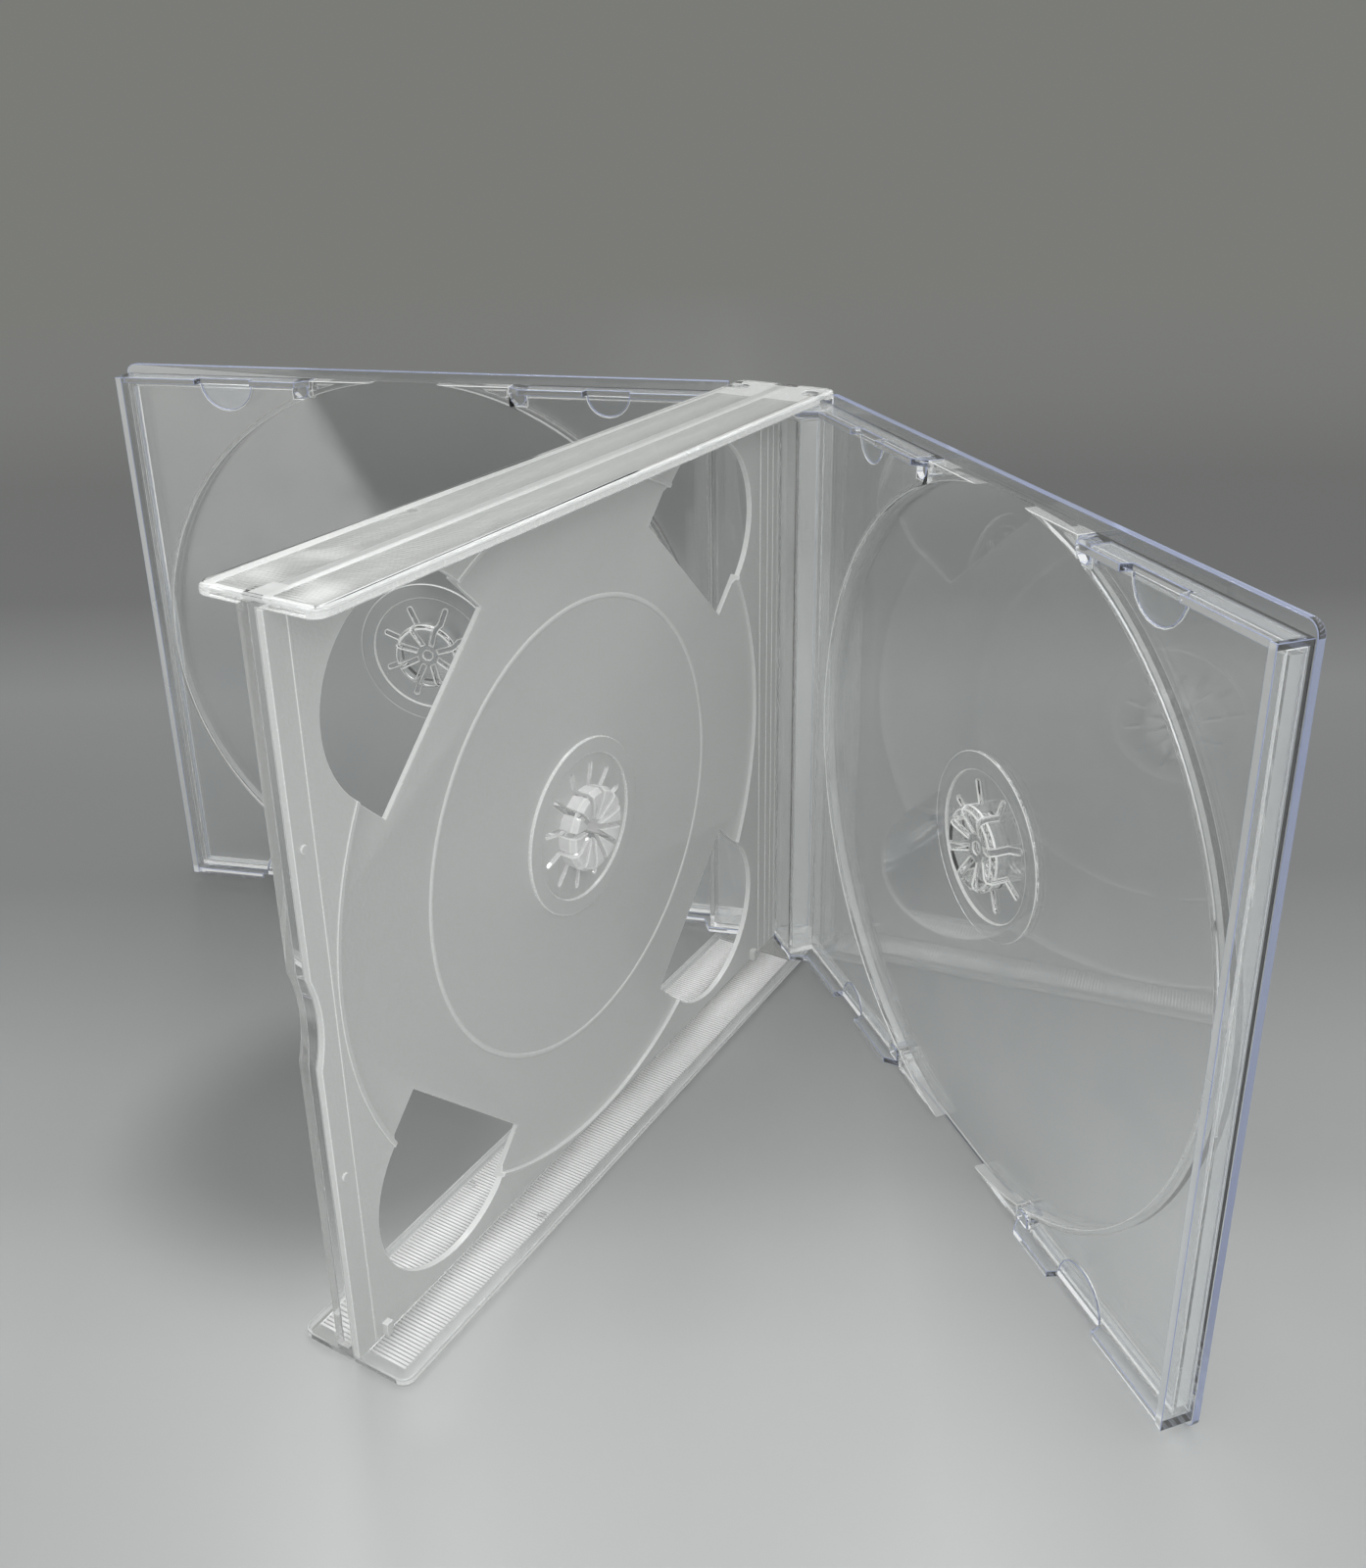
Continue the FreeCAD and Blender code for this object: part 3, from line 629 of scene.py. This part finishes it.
def makeFloorMaterial():
    material = bpy.data.materials.new("paleFloor")
    material.use_nodes = True
    tree = material.node_tree
    shader = tree.nodes["Principled BSDF"]
    coord = addNode(tree, "ShaderNodeTexCoord", (-1400, 0))
    path = addNode(tree, "ShaderNodeLightPath", (-1000, -600))
    tree.links.new(floorTone(tree, coord), shader.inputs["Base Color"])
    shader.inputs["Roughness"].default_value = floorLook["roughness"]
    shader.inputs["Specular IOR Level"].default_value = floorLook["specular"]
    surface = laidOver(tree, shader.outputs["BSDF"], *farWall(tree, coord, path), (250, 0))
    surface = laidOver(tree, surface, *mirroredSides(tree, coord, path), (500, 0))
    tree.links.new(surface, tree.nodes["Material Output"].inputs["Surface"])
    return material


def makeFloor():
    bm = bmesh.new()
    bmesh.ops.create_circle(bm, cap_ends=True, segments=96, radius=floorLook["radius"])
    mesh = bpy.data.meshes.new("floor")
    bm.to_mesh(mesh)
    bm.free()
    mesh.materials.append(makeFloorMaterial())
    floor = linkObject("floor", mesh)


def makeWorld():
    world = bpy.data.worlds.new("studio")
    scene.world = world
    world.use_nodes = True
    tree = world.node_tree
    tree.nodes.clear()
    out = addNode(tree, "ShaderNodeOutputWorld", (1100, 0))
    room = addNode(tree, "ShaderNodeBackground", (800, 0))
    coord = addNode(tree, "ShaderNodeTexCoord", (-900, 0))
    split = addNode(tree, "ShaderNodeSeparateXYZ", (-600, 0))
    tree.links.new(coord.outputs["Generated"], split.inputs[0])
    ramp = addNode(tree, "ShaderNodeMapRange", (0, 0), interpolation_type="SMOOTHSTEP")
    ramp.inputs["From Min"].default_value, ramp.inputs["From Max"].default_value = roomTone["rise"]
    tree.links.new(split.outputs["Z"], ramp.inputs["Value"])
    mix = addNode(tree, "ShaderNodeMix", (400, 0), data_type="RGBA")
    mix.inputs["B"].default_value = (*roomTone["above"], 1)
    tree.links.new(wallTone(tree, coord.outputs["Generated"], -300), mix.inputs["A"])
    tree.links.new(ramp.outputs["Result"], mix.inputs["Factor"])
    tree.links.new(mix.outputs["Result"], room.inputs["Color"])
    tree.links.new(room.outputs[0], out.inputs["Surface"])


lampTable = {                       # place, aim, size, watts
    "overhead": ((0.1, 0.15, 1.1), (0, 0, 0.05), (0.55, 0.4), 1.4),
    "side": ((-0.65, -0.75, 0.75), (0, 0, 0.05), (0.16, 0.2), 2.1),
    "back": ((0.42, 0.54, 1.0), (0, 0, 0.04), (0.16, 0.12), 1.6),
}


def makeLamp(name, at, aim, size, watts):
    lamp = bpy.data.lights.new(name, "AREA")
    lamp.shape = "RECTANGLE"
    lamp.size, lamp.size_y = size
    lamp.energy = watts
    obj = bpy.data.objects.new(name, lamp)
    scene.collection.objects.link(obj)
    obj.location = at
    obj.rotation_euler = (Vector(aim) - Vector(at)).to_track_quat("-Z", "Y").to_euler()


cameraLook = {"lens": 33.98, "shift": (-0.00399, -0.0741), "azimuth": -58.96, "elevation": 22.39,
              "roll": -0.78, "aim": (31.7, 0, 78.5), "distance": 278.7}


def makeCamera():
    data = bpy.data.cameras.new("camera")
    data.sensor_width = 36.0
    data.lens = cameraLook["lens"]
    data.shift_x, data.shift_y = cameraLook["shift"]
    data.clip_start = 0.01
    camera = bpy.data.objects.new("camera", data)
    scene.collection.objects.link(camera)
    azimuth, elevation, roll = (math.radians(cameraLook[key]) for key in ("azimuth", "elevation", "roll"))
    back = Vector((math.sin(azimuth) * math.cos(elevation), -math.cos(azimuth) * math.cos(elevation),
                   math.sin(elevation)))
    camera.location = (Vector(cameraLook["aim"]) + back * cameraLook["distance"]) * mm
    turn = (-back).to_track_quat("-Z", "Y").to_matrix()
    tilt = turn @ Vector((0, 0, 1))
    camera.rotation_mode = "QUATERNION"
    camera.rotation_quaternion = (Matrix.Rotation(roll, 3, tilt) @ turn).to_quaternion()
    scene.camera = camera


makeFloor()
makeWorld()
for name, row in lampTable.items():
    makeLamp(name, *row)
makeCamera()
scene.cycles.diffuse_bounces = 2
scene.cycles.glossy_bounces = 10
scene.cycles.transparent_max_bounces = 32
scene.view_settings.view_transform = "Standard"
print("floor, light and camera placed")
